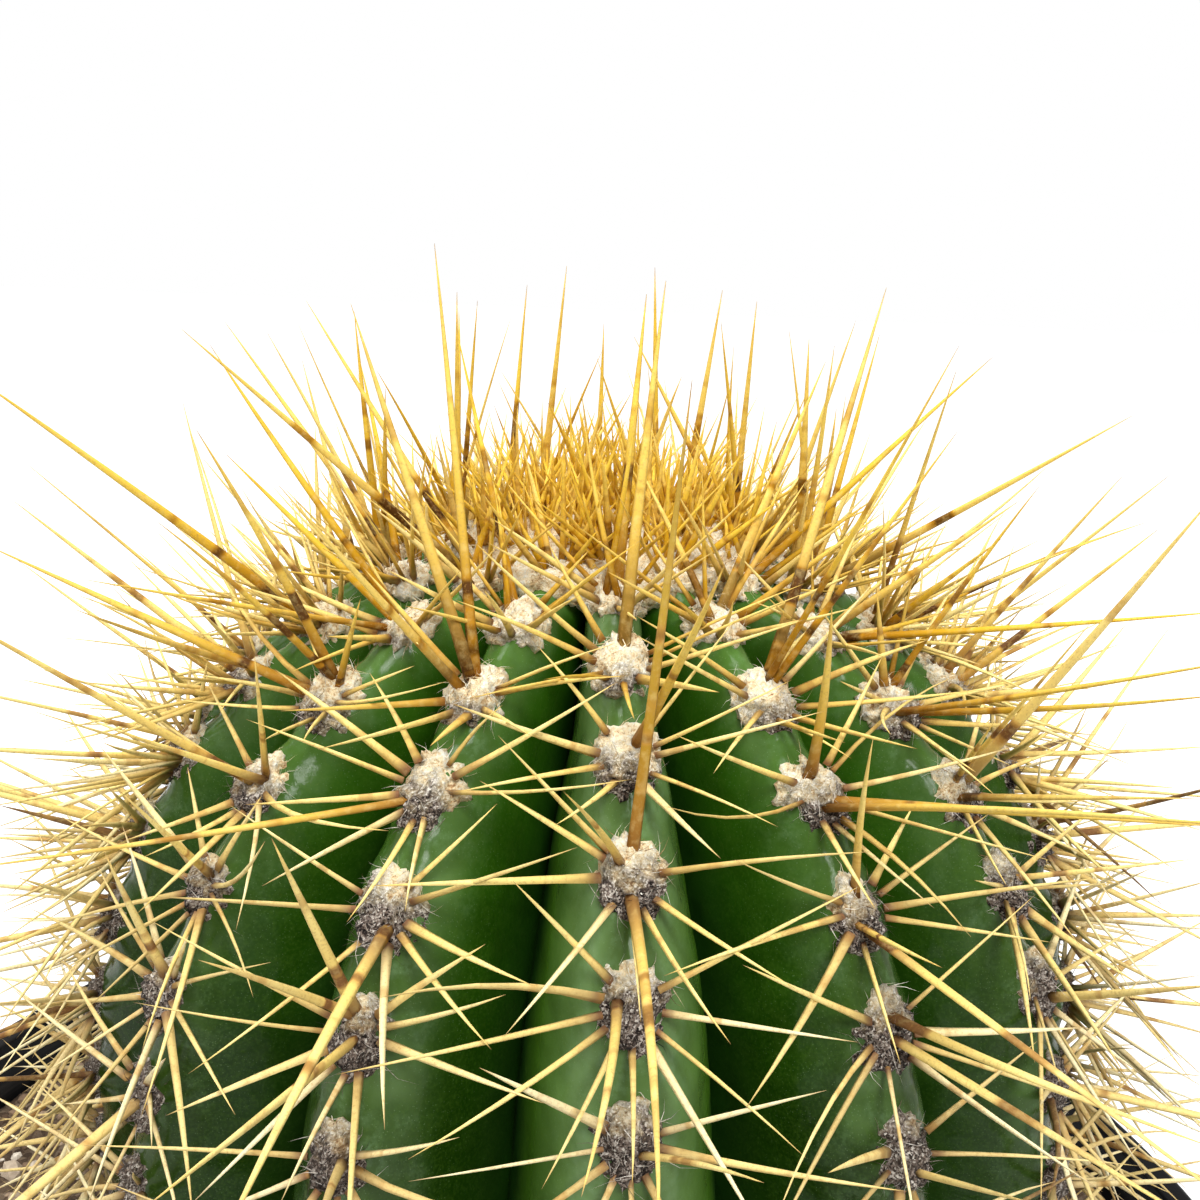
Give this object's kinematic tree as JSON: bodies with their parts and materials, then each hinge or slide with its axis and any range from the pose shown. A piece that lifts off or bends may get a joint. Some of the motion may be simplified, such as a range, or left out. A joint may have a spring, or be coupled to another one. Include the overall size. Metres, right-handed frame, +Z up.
{
  "type": "potted torch cactus",
  "caption": "Stout ribbed torch cactus with golden spines and a woolly crown, growing in gritty soil in a round tapered nursery pot.",
  "frame": {"origin": "centre of the pot's flat underside", "axes": "+Z up along the pot's axis; the plant's front faces -Y, and +X is to its right as seen from the front"},
  "size_m": [0.25, 0.25, 0.3424],
  "materials": {
    "pot": "satin black plastic, a little dusty",
    "soil": "matte loose gritty potting mix",
    "stem": "satin waxy green skin",
    "wool": "matte felted wool",
    "spines": "satin horn, golden with darker bands"
  },
  "bodies": {
    "root": {"central_spine_rib01_1": "spines", "central_spine_rib01_2": "spines", "central_spine_rib01_4": "spines", "central_spine_rib01_7": "spines", "central_spine_rib02_1": "spines", "central_spine_rib02_3": "spines", "central_spine_rib02_5": "spines", "central_spine_rib02_7": "spines", "central_spine_rib03_1": "spines", "central_spine_rib03_2": "spines", "central_spine_rib03_4": "spines", "central_spine_rib03_7": "spines", "central_spine_rib04_1": "spines", "central_spine_rib04_3": "spines", "central_spine_rib04_5": "spines", "central_spine_rib04_7": "spines", "central_spine_rib05_1": "spines", "central_spine_rib05_2": "spines", "central_spine_rib05_4": "spines", "central_spine_rib05_7": "spines", "central_spine_rib06_1": "spines", "central_spine_rib06_3": "spines", "central_spine_rib06_5": "spines", "central_spine_rib06_7": "spines", "central_spine_rib07_1": "spines", "central_spine_rib07_2": "spines", "central_spine_rib07_4": "spines", "central_spine_rib07_7": "spines", "central_spine_rib08_1": "spines", "central_spine_rib08_3": "spines", "central_spine_rib08_5": "spines", "central_spine_rib08_7": "spines", "central_spine_rib09_1": "spines", "central_spine_rib09_2": "spines", "central_spine_rib09_4": "spines", "central_spine_rib09_7": "spines", "central_spine_rib10_1": "spines", "central_spine_rib10_3": "spines", "central_spine_rib10_5": "spines", "central_spine_rib10_7": "spines", "central_spine_rib11_1": "spines", "central_spine_rib11_2": "spines", "central_spine_rib11_4": "spines", "central_spine_rib11_7": "spines", "central_spine_rib12_1": "spines", "central_spine_rib12_3": "spines", "central_spine_rib12_5": "spines", "central_spine_rib12_7": "spines", "central_spine_rib13_1": "spines", "central_spine_rib13_2": "spines", "central_spine_rib13_4": "spines", "central_spine_rib13_7": "spines", "central_spine_rib14_1": "spines", "central_spine_rib14_3": "spines", "central_spine_rib14_5": "spines", "central_spine_rib14_7": "spines", "crown_wool": "wool", "pot": "pot", "soil": "soil", "stem": "stem"}
  },
  "joints": []
}
